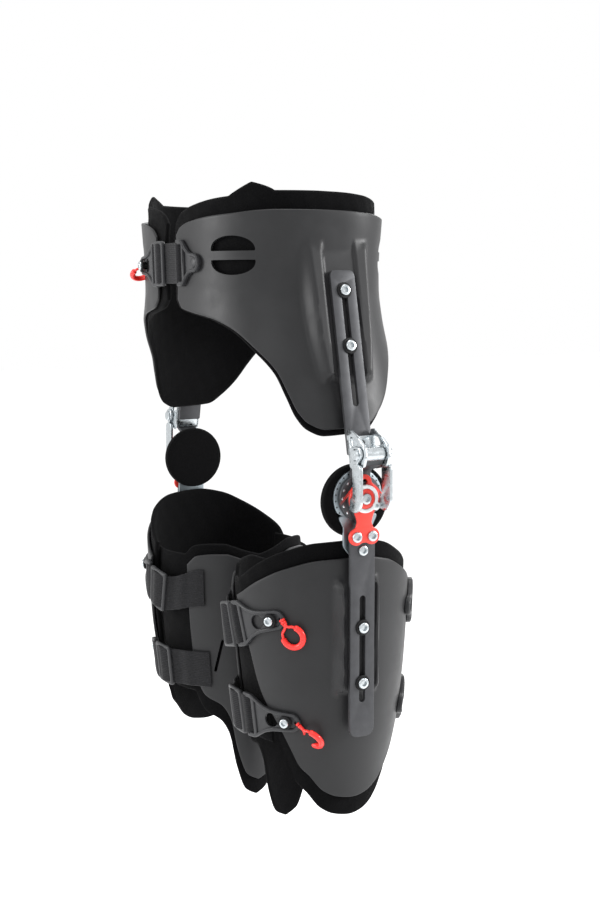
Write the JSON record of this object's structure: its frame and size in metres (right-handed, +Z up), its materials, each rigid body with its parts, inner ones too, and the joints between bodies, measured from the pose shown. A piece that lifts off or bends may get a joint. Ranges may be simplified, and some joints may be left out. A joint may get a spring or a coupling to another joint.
{
  "type": "hip brace",
  "caption": "Hip orthosis with two padded pelvic half shells, hinged hip joints on slotted bars and two padded thigh cuffs closed by webbing and hooks.",
  "frame": {"origin": "middle of the waist ring, level with the narrowest part of the pelvic shells", "axes": "+Z up, -Y to the wearer's front, +X to the wearer's left"},
  "size_m": [0.4342, 0.2039, 0.621],
  "materials": {
    "shell_plastic": "satin, fine pebble",
    "liner_fleece": "short fleece",
    "anodised_bar": "satin anodised",
    "zinc_plate": "bright zinc plate",
    "scale_metal": "satin grey",
    "red_lacquer": "satin red",
    "dial_white": "smooth white",
    "webbing": "ribbed webbing",
    "buckle_plastic": "satin moulded",
    "pull_cord": "soft red sleeve"
  },
  "bodies": {
    "pelvis": {"pelvic_shell_left": "shell_plastic", "pelvic_liner_left": "liner_fleece", "upper_bar_left": "anodised_bar", "upper_bar_screw_1_left": "zinc_plate", "upper_bar_screw_2_left": "zinc_plate", "abduction_bracket_left": "zinc_plate", "pelvic_shell_right": "shell_plastic", "pelvic_liner_right": "liner_fleece", "upper_bar_right": "anodised_bar", "upper_bar_screw_1_right": "zinc_plate", "upper_bar_screw_2_right": "zinc_plate", "abduction_bracket_right": "zinc_plate", "front_closure_hook": "buckle_plastic", "front_closure_anchor": "buckle_plastic", "front_closure_strap": "webbing", "front_closure_pull": "pull_cord", "back_closure": "webbing"},
    "hip_link_left": {"joint_link_left": "anodised_bar"},
    "lever_left": {"release_lever_left": "zinc_plate"},
    "thigh_left": {"scale_plate_left": "scale_metal", "felt_pad_left": "liner_fleece", "cover_plate_left": "red_lacquer", "dial_left": "dial_white", "lower_bar_left": "anodised_bar", "lower_bar_screw_1_left": "zinc_plate", "lower_bar_screw_2_left": "zinc_plate", "lateral_cuff_shell_left": "shell_plastic", "lateral_cuff_liner_left": "liner_fleece", "medial_cuff_shell_left": "shell_plastic", "medial_cuff_liner_left": "liner_fleece", "front_hook_upper_left": "buckle_plastic", "front_strap_upper_left": "webbing", "pull_loop_upper_left": "pull_cord", "rear_strap_upper_left": "webbing", "front_hook_lower_left": "buckle_plastic", "front_strap_lower_left": "webbing", "pull_loop_lower_left": "pull_cord", "rear_strap_lower_left": "webbing"},
    "hip_link_right": {"joint_link_right": "anodised_bar"},
    "lever_right": {"release_lever_right": "zinc_plate"},
    "thigh_right": {"scale_plate_right": "scale_metal", "felt_pad_right": "liner_fleece", "cover_plate_right": "red_lacquer", "dial_right": "dial_white", "lower_bar_right": "anodised_bar", "lower_bar_screw_1_right": "zinc_plate", "lower_bar_screw_2_right": "zinc_plate", "lateral_cuff_shell_right": "shell_plastic", "lateral_cuff_liner_right": "liner_fleece", "medial_cuff_shell_right": "shell_plastic", "medial_cuff_liner_right": "liner_fleece", "front_hook_upper_right": "buckle_plastic", "front_strap_upper_right": "webbing", "pull_loop_upper_right": "pull_cord", "rear_strap_upper_right": "webbing", "front_hook_lower_right": "buckle_plastic", "front_strap_lower_right": "webbing", "pull_loop_lower_right": "pull_cord", "rear_strap_lower_right": "webbing"}
  },
  "joints": [
    {"name": "abduction_left", "type": "hinge", "parent": "pelvis", "child": "hip_link_left", "pos_m": [0.2075, 0, -0.143], "axis": [0, -1, 0], "range_deg": [0, 20]},
    {"name": "flexion_left", "type": "hinge", "parent": "hip_link_left", "child": "thigh_left", "pos_m": [0.19, 0, -0.184], "axis": [-1, 0, 0], "range_deg": [-10, 70]},
    {"name": "lever_left", "type": "hinge", "parent": "hip_link_left", "child": "lever_left", "pos_m": [0.2075, 0, -0.143], "axis": [0, -1, 0], "range_deg": [0, 100]},
    {"name": "abduction_right", "type": "hinge", "parent": "pelvis", "child": "hip_link_right", "pos_m": [-0.2075, 0, -0.143], "axis": [0, 1, 0], "range_deg": [0, 20]},
    {"name": "flexion_right", "type": "hinge", "parent": "hip_link_right", "child": "thigh_right", "pos_m": [-0.19, 0, -0.184], "axis": [-1, 0, 0], "range_deg": [-10, 70]},
    {"name": "lever_right", "type": "hinge", "parent": "hip_link_right", "child": "lever_right", "pos_m": [-0.2075, 0, -0.143], "axis": [0, 1, 0], "range_deg": [0, 100]}
  ]
}
